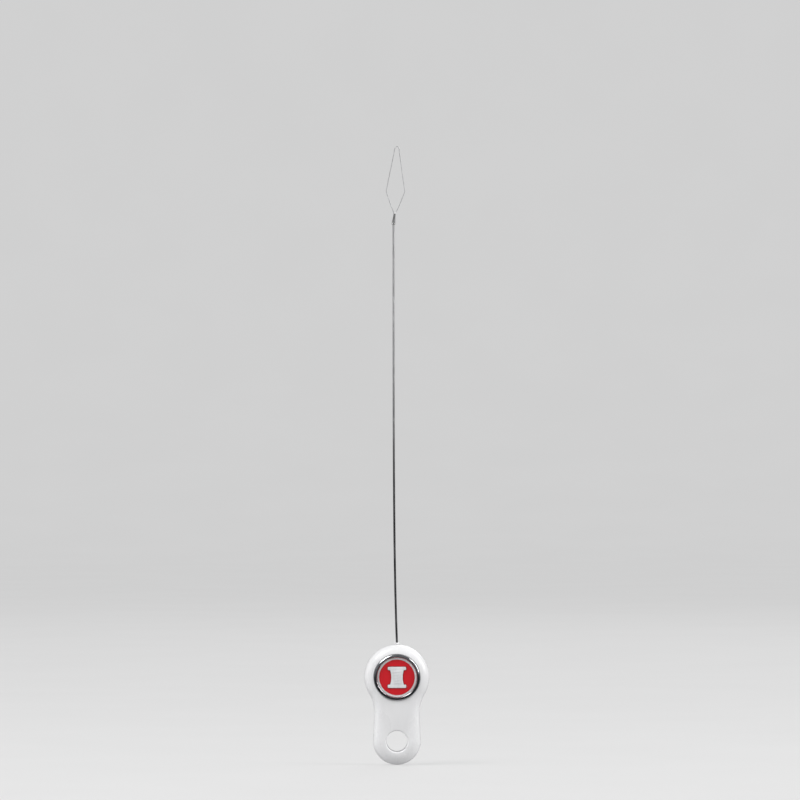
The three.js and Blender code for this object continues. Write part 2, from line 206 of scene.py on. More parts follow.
class Form:
    """A closed mesh in the making, in millimetres."""

    def __init__(self) -> None:
        """Starts with nothing."""
        self.points: list[Vector] = []
        self.faces: list[tuple[int, ...]] = []
        self.kinds: list[int] = []

    def ring(self, points: Iterable[Vector]) -> list[int]:
        """Adds points and returns their numbers."""
        first = len(self.points)
        self.points.extend(points)
        return list(range(first, len(self.points)))

    def face(self, corners: Sequence[int], kind: int = 0) -> None:
        """Adds a face with the number of its finish."""
        self.faces.append(tuple(corners))
        self.kinds.append(kind)

    def bands(self, rings: Sequence[list[int]], kind: int = 0) -> None:
        """Joins each ring of points to the next, all of the same length, with four-sided faces."""
        for one, other in zip(rings, rings[1:]):
            for i in range(len(one)):
                self.face((one[i - 1], one[i], other[i], other[i - 1]), kind)

    def close(self, rings: Sequence[list[int]]) -> None:
        """Joins each ring of points to the next, and closes both ends."""
        self.bands(rings)
        self.face(rings[0])
        self.face(rings[-1])

    def stack(self, layers: Iterable[tuple[Iterable[Flat], float]]) -> list[list[int]]:
        """Adds outlines seen face on, each at its height, and returns their rings of points."""
        return [self.ring(face_on(x, up, out) for x, up in outline) for outline, out in layers]

    def sweep(self, path: Sequence[Vector], radius: float | Sequence[float], sides: int = 16) -> None:
        """Adds a round wire with flat ends along a path.

        Args:
            path: the points along its middle.
            radius: its radius, or its radius at each point.
            sides: the number of sides of its section.
        """
        across = Vector((0, 1, 0))
        rings = []
        for i, point in enumerate(path):
            ahead = (path[min(i + 1, len(path) - 1)] - path[max(i - 1, 0)]).normalized()
            across = (across - ahead * across.dot(ahead)).normalized()
            other = ahead.cross(across)
            size = radius if isinstance(radius, float) else radius[i]
            spokes = circle((0, 0), size, sides)
            rings.append(self.ring(point + across * u + other * v for u, v in spokes))
        self.close(rings)

    def turn(self, section: Sequence[Flat], sides: int, place: Place) -> None:
        """Adds a body of revolution: a disc if the section starts on the axis, and otherwise a ring.

        Args:
            section: [radius, height] points; a disc's leaves out its two points on the axis.
            sides: the number of sides round the axis.
            place: turns radius, angle and height into a point.
        """
        angles = [math.tau * i / sides for i in range(sides)]
        rings = [self.ring(place(r, a, h) for a in angles) for r, h in section]
        if section[0] == section[-1]:
            self.bands([*rings[:-1], rings[0]])
        else:
            self.close(rings)

    def fill(self, rims: Sequence[list[int]], spots: Iterable[Vector] = (), kind: int = 0) -> None:
        """Closes the area inside a rim, apart from its holes, with triangles seen face on.

        Args:
            rims: the point numbers of the outer rim, then of each hole.
            spots: further points inside the area.
            kind: the number of the finish.
        """
        order = [n for rim in rims for n in rim] + self.ring(spots)
        flat = [Vector((self.points[n].x, self.points[n].z)) for n in order]
        edges, holes, first = [], [], 0
        for rim in rims:
            size = len(rim)
            edges += [(first + i, first + (i + 1) % size) for i in range(size)]
            holes.append([tuple(p) for p in flat[first : first + size]])
            first += size
        found = delaunay_2d_cdt(flat, edges, [], 1, TINY)
        for corners in found[2]:
            middle = sum((found[0][c] for c in corners), Vector((0, 0))) / len(corners)
            if not any(encloses(hole, *middle) for hole in holes[1:]):
                self.face([order[found[3][c][0]] for c in corners], kind)

    def piece(self, name: str, sharp: float = 40.0) -> Piece:
        """Makes the Blender object, in metres, smooth apart from its sharp edges.

        Args:
            name: the piece's name.
            sharp: the angle in degrees from which an edge stays sharp.

        Returns:
            the new object.
        """
        mesh = bpy.data.meshes.new(name)
        mesh.from_pydata([p * MM for p in self.points], [], self.faces)
        mesh.polygons.foreach_set("material_index", self.kinds)
        tidy = bmesh.new()
        tidy.from_mesh(mesh)
        bmesh.ops.delete(tidy, geom=[v for v in tidy.verts if not v.link_faces], context="VERTS")
        bmesh.ops.recalc_face_normals(tidy, faces=tidy.faces)
        tidy.to_mesh(mesh)
        tidy.free()
        made = bpy.data.objects.new(name, mesh)
        bpy.context.scene.collection.objects.link(made)
        smooth(made, sharp)
        return made


def smooth(piece: Piece, sharp: float = 40.0) -> None:
    """Shades a piece smooth apart from edges sharper than an angle in degrees."""
    piece.data.shade_smooth()
    piece.data.set_sharp_from_angle(angle=math.radians(sharp))


def settle(piece: Piece) -> None:
    """Applies a piece's modifiers to its mesh."""
    shaped = piece.evaluated_get(bpy.context.evaluated_depsgraph_get())
    piece.data = bpy.data.meshes.new_from_object(shaped)
    piece.modifiers.clear()


def carve(piece: Piece, cutter: Piece, how: str = "DIFFERENCE") -> None:
    """Cuts a closed piece out of another, or joins it on, and removes it.

    Args:
        piece: the piece to change.
        cutter: the piece that cuts or joins.
        how: the boolean operation.
    """
    step = piece.modifiers.new("carve", "BOOLEAN")
    step.operation = how
    step.object = cutter
    step.solver = "EXACT"
    settle(piece)
    bpy.data.objects.remove(cutter)


# ---------- surface effects ----------


class Tree:
    """A node tree being filled in."""

    def __init__(self, tree: bpy.types.NodeTree) -> None:
        """Takes the tree to fill."""
        self.tree = tree

    @classmethod
    def of(cls, owner: bpy.types.Material | bpy.types.World) -> "Tree":
        """Empties the tree of a material or world, and returns it."""
        owner.use_nodes = True
        owner.node_tree.nodes.clear()
        return cls(owner.node_tree)

    def surface(self, feeds: dict) -> None:
        """Ends a material's tree in a Principled shader, with what goes into its inputs."""
        shader = self.add("BsdfPrincipled", feeds=feeds)
        self.add("OutputMaterial", feeds={"Surface": shader.outputs[0]})

    def add(self, kind: str, options: dict | None = None, feeds: dict | None = None) -> bpy.types.Node:
        """Adds a shader node.

        Args:
            kind: the node's type, without its prefix.
            options: its settings by name.
            feeds: what goes into its inputs, by name or number: a socket or a value.

        Returns:
            the node.
        """
        node = self.tree.nodes.new("ShaderNode" + kind)
        for key, value in (options or {}).items():
            setattr(node, key, value)
        for key, value in (feeds or {}).items():
            if isinstance(value, Socket):
                self.tree.links.new(value, node.inputs[key])
            else:
                node.inputs[key].default_value = value
        return node

    def math(self, how: str, a: object, b: object = 0.0, clamp: bool = False) -> Socket:
        """One sum of two numbers."""
        return self.add("Math", {"operation": how, "use_clamp": clamp}, {0: a, 1: b}).outputs[0]

    def times(self, a: object, b: object) -> Socket:
        """The product of two numbers."""
        return self.math("MULTIPLY", a, b)

    def span(
        self, value: object, low: object, high: object, start: float = 0.0, end: float = 1.0
    ) -> Socket:
        """A number's place between low and high, spread smoothly from start to end."""
        feeds = {"Value": value, "From Min": low, "From Max": high, "To Min": start, "To Max": end}
        return self.add("MapRange", {"interpolation_type": "SMOOTHSTEP"}, feeds).outputs[0]

    def place(self, stretch: Colour = (1, 1, 1), turn: Colour = (0, 0, 0)) -> Socket:
        """The surface point in millimetres, turned and then stretched along each axis."""
        point = self.add("TexCoord").outputs["Object"]
        turned = self.add("Mapping", feeds={"Vector": point, "Rotation": turn}).outputs[0]
        scale = tuple(s / MM for s in stretch)
        return self.add("VectorMath", {"operation": "MULTIPLY"}, {0: turned, 1: scale}).outputs[0]

    def noise(self, point: object, scale: object, detail: float = 2.0) -> Socket:
        """Soft noise from 0 to 1, by its features per millimetre."""
        return self.add("TexNoise", feeds={"Vector": point, "Scale": scale, "Detail": detail}).outputs[0]

    def mix(self, share: object, one: object, other: object) -> Socket:
        """A mix of two colours."""
        wide = [(*c, 1) if isinstance(c, tuple) else c for c in (one, other)]
        feeds = {0: share, 6: wide[0], 7: wide[1]}
        return self.add("Mix", {"data_type": "RGBA"}, feeds).outputs[2]


class Effect:
    """A shader node group, built once and placed in each material with its own values."""

    title = ""
    knobs: dict[str, float] = {}
    gives: tuple[str, ...] = ()

    @classmethod
    def weave(cls, tree: Tree, knobs: Sockets) -> list[Socket]:
        """Fills the group's tree in from its knobs, and returns what it gives, in order."""
        raise NotImplementedError

    @classmethod
    def group(cls) -> bpy.types.NodeTree:
        """The node group, made the first time it is asked for."""
        made = bpy.data.node_groups.get(cls.title)
        if made:
            return made
        made = bpy.data.node_groups.new(cls.title, "ShaderNodeTree")
        for name, value in cls.knobs.items():
            socket = made.interface.new_socket(name, in_out="INPUT", socket_type="NodeSocketFloat")
            socket.default_value = value
        for name in cls.gives:
            made.interface.new_socket(name, in_out="OUTPUT", socket_type="NodeSocketFloat")
        knobs = made.nodes.new("NodeGroupInput").outputs
        results = cls.weave(Tree(made), knobs)
        last = made.nodes.new("NodeGroupOutput")
        for name, result in zip(cls.gives, results):
            made.links.new(result, last.inputs[name])
        return made

    @classmethod
    def on(cls, tree: Tree, **knobs: float) -> Sockets:
        """Places the group in a material with values for its knobs, and returns its outputs."""
        node = tree.add("Group", {"node_tree": cls.group()}, knobs)
        return node.outputs


class MouldedGrain(Effect):
    """The faint unevenness of a moulded or poured surface: broad flow marks and fine orange peel."""

    title = "moulded_grain"
    knobs = {"Peel": 3.0, "Flow": 0.25}
    gives = ("Height", "Tone")

    @classmethod
    def weave(cls, tree: Tree, knobs: Sockets) -> list[Socket]:
        """Peel and Flow are features per millimetre."""
        peel = tree.noise(tree.place(), knobs["Peel"], 3.0)
        flow = tree.noise(tree.place((1, 1, 0.35)), knobs["Flow"], 4.0)
        height = tree.math("ADD", tree.times(peel, 0.6), tree.times(flow, 0.4))
        return [height, tree.span(flow, 0.3, 0.7)]


class HairScratches(Effect):
    """Hair-fine handling scratches, in two crossing directions."""

    title = "hair_scratches"
    knobs = {"Spread": 1.0, "Width": 0.012}
    gives = ("Mask",)

    @classmethod
    def weave(cls, tree: Tree, knobs: Sockets) -> list[Socket]:
        """Spread is how close they lie, and Width how broad each is."""
        masks = []
        for turn, stretch in ((0.6, (1.6, 1.0, 0.12)), (-0.9, (1.3, 1.0, 0.16))):
            field_ = tree.noise(tree.place(stretch, (0, turn, 0)), knobs["Spread"], 1.0)
            line = tree.math("ABSOLUTE", tree.math("SUBTRACT", field_, 0.5))
            hair = tree.span(line, knobs["Width"], 0.0)
            gate = tree.span(tree.noise(tree.place((1, 1, 1), (turn, 0, 0)), 0.7), 0.5, 0.62)
            masks.append(tree.times(hair, gate))
        return [tree.math("MAXIMUM", *masks)]


class DustSpecks(Effect):
    """Scattered dust: a few round specks of uneven size."""

    title = "dust_specks"
    knobs = {"Spread": 0.8, "Share": 0.25}
    gives = ("Mask",)

    @classmethod
    def weave(cls, tree: Tree, knobs: Sockets) -> list[Socket]:
        """Spread is cells per millimetre, and Share how many of them hold a speck."""
        cells = tree.add("TexVoronoi", feeds={"Vector": tree.place(), "Scale": knobs["Spread"]})
        pick = tree.add("SeparateColor", feeds={0: cells.outputs["Color"]}).outputs
        chosen = tree.math("LESS_THAN", pick[0], knobs["Share"])
        size = tree.times(pick[1], 0.09)
        speck = tree.span(cells.outputs["Distance"], size, tree.times(size, 0.5))
        return [tree.times(speck, chosen)]


class EdgeRub(Effect):
    """Where handling rubs a piece: its raised edges, unevenly."""

    title = "edge_rub"
    knobs = {"Onset": 0.51, "Full": 0.6}
    gives = ("Mask",)

    @classmethod
    def weave(cls, tree: Tree, knobs: Sockets) -> list[Socket]:
        """Onset and Full are the pointedness at which the rub starts and is complete."""
        point = tree.add("NewGeometry").outputs["Pointiness"]
        edge = tree.span(point, knobs["Onset"], knobs["Full"])
        patchy = tree.span(tree.noise(tree.place(), 1.6, 3.0), 0.35, 0.6)
        return [tree.times(edge, patchy)]


class DrawnLines(Effect):
    """The long fine lines that a die leaves on drawn wire, with darker patches between, and painted shade
    and light by height.
    """

    title = "drawn_lines_painted_shade"
    knobs = {"Fineness": 14.0, "Patch": 0.8, "Painted Shade Below": -1000.0, "Painted Light Above": -999.0}
    gives = ("Height", "Tone")

    @classmethod
    def weave(cls, tree: Tree, knobs: Sockets) -> list[Socket]:
        """Fineness and Patch are features per millimetre; the two heights, in millimetres, are where
        painted shade gives way to painted light.
        """
        lines = tree.noise(tree.place((1, 1, 0.02)), knobs["Fineness"], 2.0)
        patches = tree.noise(tree.place((1, 1, 0.3)), knobs["Patch"], 5.0)
        up = tree.add("SeparateXYZ", feeds={0: tree.place()}).outputs[2]
        # Painted light and shade: below the first height the wire is painted dark and above the second
        # painted bright, standing in for the light it reflects.
        painted_light_share = tree.span(up, knobs["Painted Shade Below"], knobs["Painted Light Above"], 0.0, 0.8)
        patchy = tree.math("ADD", painted_light_share, tree.span(patches, 0.4, 0.75, 0.0, 0.2))
        return [lines, tree.times(patchy, tree.span(lines, 0.2, 0.8, 0.7, 1.0))]


class TurnedRings(Effect):
    """The fine rings that turning or spinning leaves round the medallion's centre."""

    title = "turned_rings"
    knobs = {"Fineness": 12.0, "Streak": 2.0}
    gives = ("Height", "Tone")

    @classmethod
    def weave(cls, tree: Tree, knobs: Sockets) -> list[Socket]:
        """Fineness is rings per millimetre, and Streak is how broken they are round the circle."""
        split = tree.add("SeparateXYZ", feeds={0: tree.place()}).outputs
        flat = tree.add("CombineXYZ", feeds={0: split[0], 1: split[2]}).outputs[0]
        reach = tree.add("VectorMath", {"operation": "LENGTH"}, {0: flat}).outputs["Value"]
        angle = tree.math("ARCTAN2", split[0], split[2])
        feeds = {0: reach, 1: tree.math("COSINE", angle), 2: tree.math("SINE", angle)}
        point = tree.add("CombineXYZ", feeds=feeds).outputs[0]
        uneven = tree.add("VectorMath", {"operation": "MULTIPLY"}, {0: point, 1: (1, 0.02, 0.02)})
        rings = tree.noise(uneven.outputs[0], knobs["Fineness"], 3.0)
        streaks = tree.noise(point, knobs["Streak"], 2.0)
        return [rings, tree.times(rings, tree.span(streaks, 0.3, 0.7, 0.6, 1.0))]


# ---------- finishes ----------


@dataclass(frozen=True)
class Finish:
    """A finish: its colour and gloss, how its pattern shows, and how it has been handled."""

    name: str
    slot: Slot
    colour: Colour
    shade: Colour
    rough: float
    metal: float = 0.0
    coat: float = 0.0
    pattern: type[Effect] = MouldedGrain
    knobs: tuple[tuple[str, float], ...] = ()
    rough_swing: float = 0.08
    relief: float = 0.002
    scratches: float = 0.3
    dust: float = 0.35
    rub: float = 0.3
    worn: Colour = (0.9, 0.9, 0.9)
    soil: Colour = (0.35, 0.33, 0.3)
    scratch_haze: float = 0.3
    scratch_depth: float = 0.5
    dust_haze: float = 0.5
    coat_rough: float = 0.06

    def material(self) -> bpy.types.Material:
        """The finish as a Blender material, made the first time it is asked for."""
        made = bpy.data.materials.get(self.name)
        if made:
            return made
        made = bpy.data.materials.new(self.name)
        made.diffuse_color = (*self.colour, 1)
        tree = Tree.of(made)
        marks = self.pattern.on(tree, **dict(self.knobs))
        scratch = tree.times(HairScratches.on(tree)["Mask"], self.scratches)
        dust = tree.times(DustSpecks.on(tree)["Mask"], self.dust)
        rub = tree.times(EdgeRub.on(tree)["Mask"], self.rub)
        colour = tree.mix(marks["Tone"], self.shade, self.colour)
        colour = tree.mix(rub, colour, self.worn)
        colour = tree.mix(dust, colour, self.soil)
        swing = tree.span(marks["Tone"], 0.0, 1.0, self.rough + self.rough_swing, self.rough)
        gloss = tree.math("ADD", swing, tree.times(scratch, self.scratch_haze))
        gloss = tree.math("ADD", gloss, tree.times(dust, self.dust_haze), clamp=True)
        height = tree.math("SUBTRACT", marks["Height"], tree.times(scratch, self.scratch_depth))
        bump = tree.add("Bump", feeds={"Height": height, "Distance": self.relief * MM})
        feeds = {"Base Color": colour, "Roughness": gloss, "Metallic": self.metal, "Coat Weight": self.coat}
        tree.surface(feeds | {"Coat Roughness": self.coat_rough, "Normal": bump.outputs[0]})
        return made


WHITE_PLASTIC = Finish(
    "white_moulded_plastic", Slot.PLASTIC, colour=(0.74, 0.74, 0.745), shade=(0.71, 0.71, 0.715),
    rough=0.24, coat=0.15, relief=0.004,
)
CHROME = Finish(
    "polished_chrome", Slot.CHROME, colour=(0.78, 0.79, 0.81), shade=(0.7, 0.71, 0.73),
    rough=0.08, metal=1.0, relief=0.0015, scratches=0.5,
)
SILVER_FACE = Finish(
    "spun_silver_face", Slot.SILVER, colour=(0.97, 0.97, 0.975), shade=(0.88, 0.88, 0.89),
    rough=0.42, pattern=TurnedRings, relief=0.003,
)
RED_ENAMEL = Finish(
    "red_enamel", Slot.ENAMEL, colour=(0.60, 0.012, 0.018), shade=(0.53, 0.009, 0.014),
    rough=0.3, coat=0.3, knobs=(("Peel", 5.0), ("Flow", 0.5)), dust=0.15, rub=0.0,
)
# Painted shade: a dark red border round the emblem, standing in for the shadow where the emblem stands on
# the field.
SHADE_BORDER_ENAMEL = Finish(
    "enamel_painted_shade_border", Slot.ENAMEL, colour=(0.2, 0.005, 0.008), shade=(0.15, 0.004, 0.006),
    rough=0.25, coat=0.3, knobs=(("Peel", 5.0), ("Flow", 0.5)), dust=0.1, rub=0.0,
)
EMBLEM_SILVER = Finish(
    "satin_emblem_silver", Slot.EMBLEM, colour=(0.76, 0.77, 0.78), shade=(0.66, 0.67, 0.68),
    rough=0.36, metal=0.12, knobs=(("Peel", 7.0), ("Flow", 0.8)),
)
ADHESIVE = Finish(
    "adhesive_foam", Slot.ADHESIVE, colour=(0.7, 0.67, 0.58), shade=(0.55, 0.52, 0.44),
    rough=0.75, knobs=(("Peel", 6.0), ("Flow", 2.0)), relief=0.03,
)
# Painted shade and light: the rod is painted near-black (its shade colour) below 38 mm and its steel colour
# above 98 mm, darker towards the bottom.
DRAWN_STEEL = Finish(
    "drawn_steel_painted_shade", Slot.STEEL, colour=(0.8, 0.8, 0.805), shade=(0.035, 0.035, 0.037),
    rough=0.3, metal=0.6, pattern=DrawnLines, knobs=(("Painted Shade Below", 38.0), ("Painted Light Above", 98.0)),
    relief=0.004, dust=0.3, rub=0.0,
)
SOLDER_TIN = Finish(
    "bright_solder", Slot.SOLDER, colour=(0.88, 0.88, 0.88), shade=(0.7, 0.7, 0.7),
    rough=0.22, metal=1.0, knobs=(("Peel", 9.0), ("Flow", 2.5)), relief=0.02,
)
HAIR_WIRE = Finish(
    "hair_fine_wire", Slot.WIRE, colour=(0.66, 0.665, 0.67), shade=(0.42, 0.425, 0.43),
    rough=0.28, metal=0.6, pattern=DrawnLines, knobs=(("Fineness", 30.0), ("Patch", 2.0)), rub=0.0,
)
BOUND_WIRE = Finish(
    "wire_dulled_by_soldering", Slot.WIRE, colour=(0.4, 0.4, 0.4), shade=(0.12, 0.12, 0.12),
    rough=0.3, metal=0.7, pattern=DrawnLines, knobs=(("Fineness", 30.0), ("Patch", 2.5)), rub=0.0,
)


def dress(piece: Piece, *finishes: Finish) -> Piece:
    """Gives a piece its finishes in order."""
    for finish in finishes:
        piece.data.materials.append(finish.material())
    return piece


def stand_for(piece: Piece, body: Body, *nodes: str) -> Piece:
    """Rides a piece on its body in place of CAD nodes, and reports it.

    Args:
        piece: the piece.
        body: the body it rides on.
        nodes: the CAD nodes it stands for.

    Returns:
        the piece.
    """
    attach(piece, body.value)
    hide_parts(*nodes)
    log.info("%s rides on %s in place of %s", piece.name, body.value, ", ".join(nodes))
    return piece


# ---------- handle ----------


@dataclass(frozen=True)
class Keyhole:
    """The handle's outline: a round head, a hollow neck and a round tail, all tangent."""

    head_radius: float = 8.3
    waist_half: float = 5.8
    neck_radius: float = 9.0
    tail_radius: float = 6.1
    tail_up: float = -16.35
    steps: tuple[int, int, int] = (72, 24, 48)

    @property
    def neck(self) -> Flat:
        """The centre of the right-hand neck curve."""
        x = self.waist_half + self.neck_radius
        return x, -math.sqrt((self.head_radius + self.neck_radius) ** 2 - x**2)

    @property
    def head_end(self) -> float:
        """The angle at which the head meets the neck."""
        return math.atan2(self.neck[1], self.neck[0])

    @property
    def tail_start(self) -> float:
        """The angle at which the neck meets the tail."""
        x, rise = self.neck[0], self.neck[1] - self.tail_up
        apart = math.hypot(x, rise)
        return math.atan2(rise, x) - math.acos((self.neck_radius + self.tail_radius) / apart)

    def outline(self, inset: float) -> list[Flat]:
        """The closed outline, drawn in.

        Args:
            inset: how far it is drawn in.

        Returns:
            its points.
        """
        head, neck, tail = self.steps
        turn = (self.head_end + math.pi, self.tail_start + math.pi)
        right = arc((0, 0), self.head_radius - inset, math.pi / 2, self.head_end, head)
        right += arc(self.neck, self.neck_radius + inset, *turn, neck)[1:]
        right += arc((0, self.tail_up), self.tail_radius - inset, self.tail_start, -math.pi / 2, tail)[1:]
        return right + [(-x, y) for x, y in right[-2:0:-1]]

    def inset_at(self, x: float, up: float) -> float:
        """How far inside the outline a point lies.

        Args:
            x: how far the point is from the middle line.
            up: its height.

        Returns:
            the distance, which is negative outside.
        """
        side = abs(x)
        if math.atan2(up, side) >= self.head_end:
            return self.head_radius - math.hypot(side, up)
        if math.atan2(up - self.tail_up, side) <= self.tail_start:
            return self.tail_radius - math.hypot(side, up - self.tail_up)
        return math.hypot(side - self.neck[0], up - self.neck[1]) - self.neck_radius


@dataclass(frozen=True)
class Mouth:
    """A round opening in a shell's face, with a rounded lip. One with no floor goes right through."""

    up: float
    radius: float
    lip: float
    floor: float | None = None
    sides: int = 128


MEDALLION_SEAT = Mouth(up=0.0, radius=5.96, lip=0.1, floor=2.4, sides=176)
HANG_HOLE = Mouth(up=-16.4, radius=2.7, lip=0.35)


@dataclass(frozen=True)
class Shell:
    """One moulded half of the handle: a crowned face, a straight rim and an eased seam."""

    name: str
    node: str
    side: int
    seam: float
    face: float
    crown_wide: float
    crown_deep: float
    filled_from: float
    mouths: tuple[Mouth, ...]
    outline: Keyhole = Keyhole()
    ease: float = 0.1
    ease_steps: int = 4
    lip_steps: int = 8
    crown_steps: int = 18
    spot_rows: int = 5
    spacing: float = 0.22

    def surface(self, x: float, up: float) -> float:
        """The height of the crowned face over a point."""
        past = max(0.0, 1 - self.outline.inset_at(x, up) / self.crown_wide)
        return self.face - self.crown_deep * (1 - math.sqrt(max(0.0, 1 - past**2)))

    def at(self, x: float, up: float, out: float) -> Vector:
        """A point at a height above the seam, on this shell's side."""
        return face_on(x, up, self.side * out)

    def rim(self, form: Form) -> tuple[list[int], list[int]]:
        """Builds the eased seam, the rim and the steep part of the crown.

        Args:
            form: the form to build in.

        Returns:
            the ring on the seam and the ring where the filled face starts.
        """
        centre, down = (self.ease, self.seam + self.ease), -math.pi / 2
        eased = arc(centre, self.ease, down, 2 * down, self.ease_steps)
        spring = self.face - self.crown_deep
        crown = []
        for i in range(self.crown_steps + 1):
            a = self.filled_from * i / self.crown_steps
            crown.append((self.crown_wide * (1 - math.cos(a)), spring + self.crown_deep * math.sin(a)))
        rings = [
            form.ring(self.at(x, up, out) for x, up in self.outline.outline(inset))
            for inset, out in [*eased, *crown]
        ]
        form.bands(rings)
        return rings[0], rings[-1]

    def open_mouth(self, form: Form, mouth: Mouth) -> tuple[list[int], list[int] | None]:
        """Builds a mouth's lip and wall, and its floor if it has one.

        Args:
            form: the form to build in.
            mouth: the opening.

        Returns:
            the ring on the face, and the ring on the seam of a mouth that goes through.
        """

        def level(radius: float, height: Callable[[float, float], float]) -> list[int]:
            """Adds a circle round the mouth, with its points at the heights that a function gives."""
            points = circle((0, mouth.up), radius, mouth.sides)
            return form.ring(self.at(x, up, height(x, up)) for x, up in points)

        rings = []
        for i in range(self.lip_steps + 1):
            a = math.pi / 2 * i / self.lip_steps
            radius = mouth.radius + mouth.lip * (1 - math.sin(a))
            drop = mouth.lip * (1 - math.cos(a))
            rings.append(level(radius, lambda x, up, d=drop: self.surface(x, up) - d))
        if mouth.floor is None:
            centre, turn = (mouth.radius + self.ease, self.seam + self.ease), (math.pi, 3 * math.pi / 2)
        else:
            centre, turn = (mouth.radius - self.ease, mouth.floor + self.ease), (0, -math.pi / 2)
        for radius, out in arc(centre, self.ease, *turn, self.ease_steps):
            rings.append(level(radius, lambda x, up, h=out: h))
        form.bands(rings)
        if mouth.floor is None:
            return rings[0], rings[-1]
        form.face(rings[-1])
        return rings[0], None

    def spots(self) -> list[Vector]:
        """Further points on the gently crowned part of the face, clear of the mouths."""
        start = self.crown_wide * (1 - math.cos(self.filled_from))
        left = self.crown_wide - start
        found = []
        for i in range(1, self.spot_rows + 1):
            for x, up in self.outline.outline(start + left * i / self.spot_rows):
                clear = min(math.hypot(x, up - m.up) - m.radius - m.lip for m in self.mouths)
                if clear > self.spacing:
                    found.append(self.at(x, up, self.surface(x, up)))
        return found if left > TINY else []

    def build(self) -> Piece:
        """The shell as a closed solid, before its inside is cut."""
        form = Form()
        seam, edge = self.rim(form)
        rims, through = [edge], [seam]
        for mouth in self.mouths:
            top, bottom = self.open_mouth(form, mouth)
            rims.append(top)
            if bottom:
                through.append(bottom)
        form.fill(rims, self.spots())
        form.fill(through)
        return form.piece(self.name)


@dataclass(frozen=True)
class Handle:
    """The two shells with their pegs and the rod's groove, and the ring where the rod enters."""

    wall: float = 1.4
    cavity: float = 1.3
    boss_radius: float = 1.8
    hang_boss: float = 4.2
    peg_radius: float = 0.9
    peg_taper: float = 0.8
    peg_height: float = 1.1
    peg_root: float = 0.5
    socket_clear: Flat = (0.05, 0.1)
    pegs: tuple[Flat, ...] = ((-4.3, -3.4), (4.3, -3.4), (0.0, -10.6))
    past: float = 1.0
    ring_radius: float = 0.62
    ring_foot: float = 0.6
    ring_tall: float = 0.45
    ring_ease: float = 0.2
    ring_nip: float = 0.03
    ring_clear: float = 0.04
    front: Shell = Shell(
        name="handle_front", node="handle_front_shell", side=1, seam=0.04, face=3.4,
        crown_wide=3.0, crown_deep=2.6, filled_from=math.radians(58), mouths=(MEDALLION_SEAT, HANG_HOLE),
    )
    back: Shell = Shell(
        name="handle_back", node="handle_back_cover", side=-1, seam=0.0, face=2.2,
        crown_wide=1.3, crown_deep=1.1, filled_from=math.pi / 2, mouths=(HANG_HOLE,),
    )

    @staticmethod
    def post(spot: Flat, radius: float, low: float, high: float, taper: float = 1.0) -> Piece:
        """A round post across the seam.

        Args:
            spot: where its middle is.
            radius: its radius.
            low: where it starts, on the front side of the seam.
            high: where it ends.
            taper: the radius of its end, as a share.

        Returns:
            the post as a closed piece.
        """
        form = Form()
        ends = ((radius, low), (radius * taper, high))
        form.close(form.stack((circle(spot, size, 48), out) for size, out in ends))
        return form.piece("post")

    def hollow(self) -> Piece:
        """The space inside the front shell: the outline less its wall, round the bosses."""
        form = Form()
        outline = self.front.outline.outline(self.wall)
        form.close(form.stack([(outline, -self.past), (outline, self.cavity)]))
        space = form.piece("cavity")
        bosses = [((0, HANG_HOLE.up), self.hang_boss), *((spot, self.boss_radius) for spot in self.pegs)]
        for spot, radius in bosses:
            carve(space, self.post(spot, radius, -2 * self.past, self.cavity + self.past))
        return space

    def build(self, rod: "Rod") -> None:
        """Builds both shells, and the entry ring.

        Args:
            rod: the rod that they hold.
        """
        front, back = self.front.build(), self.back.build()
        carve(front, self.hollow())
        wider, deeper = self.socket_clear
        for spot in self.pegs:
            carve(front, self.post(spot, self.peg_radius + wider, -self.past, self.peg_height + deeper))
            peg = self.post(spot, self.peg_radius, -self.peg_root, self.peg_height, self.peg_taper)
            carve(back, peg, "UNION")
        for shell, piece in ((self.front, front), (self.back, back)):
            carve(piece, rod.groove())
            smooth(piece)
            stand_for(dress(piece, WHITE_PLASTIC), Body.HANDLE, shell.node)
        self.entry_ring(rod)

    def entry_ring(self, rod: "Rod") -> None:
        """Builds the little moulded ring where the rod leaves the crown.

        Args:
            rod: the rod that it goes round.
        """
        low, inner = self.front.outline.head_radius + self.ring_clear, rod.radius + self.ring_clear
        top, nip, ease = self.ring_tall, self.ring_nip, self.ring_ease
        shoulder = arc((self.ring_radius - ease, top - ease), ease, 0, math.pi / 2, 8)
        section = [(inner, 0.0), (self.ring_foot, 0.0), (self.ring_radius, nip), *shoulder]
        section += [(inner + nip, top), (inner, top - nip), section[0]]
        form = Form()
        form.turn(section, 64, lambda r, a, h: around(r, a, low + h))
        stand_for(dress(form.piece("rod_entry_ring"), WHITE_PLASTIC), Body.HANDLE, "rod_socket_collar")


# ---------- medallion ----------


@dataclass(frozen=True)
class Spool:
    """The emblem's outline: a spool of thread from the side, two flanges and a core that dips."""

    half_height: float = 2.7
    flange_half: float = 2.35
    flange_tall: float = 0.85
    core_half: float = 1.75
    waist_half: float = 1.45
    corner: float = 0.28

    @property
    def core_top(self) -> float:
        """Where the upper flange meets the core."""
        return self.half_height - self.flange_tall

    def half_width(self, up: float) -> float:
        """Half the core's width at a height."""
        return self.waist_half + (self.core_half - self.waist_half) * (up / self.core_top) ** 2

    def outline(self, grown: float = 0.0) -> list[Flat]:
        """The closed outline.

        Args:
            grown: how much larger than the emblem it is, all round.

        Returns:
            its points.
        """
        r = self.corner + grown
        x = self.flange_half - self.corner
        high, low = self.half_height - self.corner, self.core_top + self.corner
        flange = arc((x, high), r, math.pi / 2, 0, 6) + arc((x, low), r, 0, -math.pi / 2, 6)
        reach = self.core_top - grown
        core = [(self.half_width(up) + grown, up) for up in (reach * (1 - i / 8) for i in range(17))]
        right = flange + core + [(px, -py) for px, py in reversed(flange)]
        return right + [(-px, py) for px, py in reversed(right)]


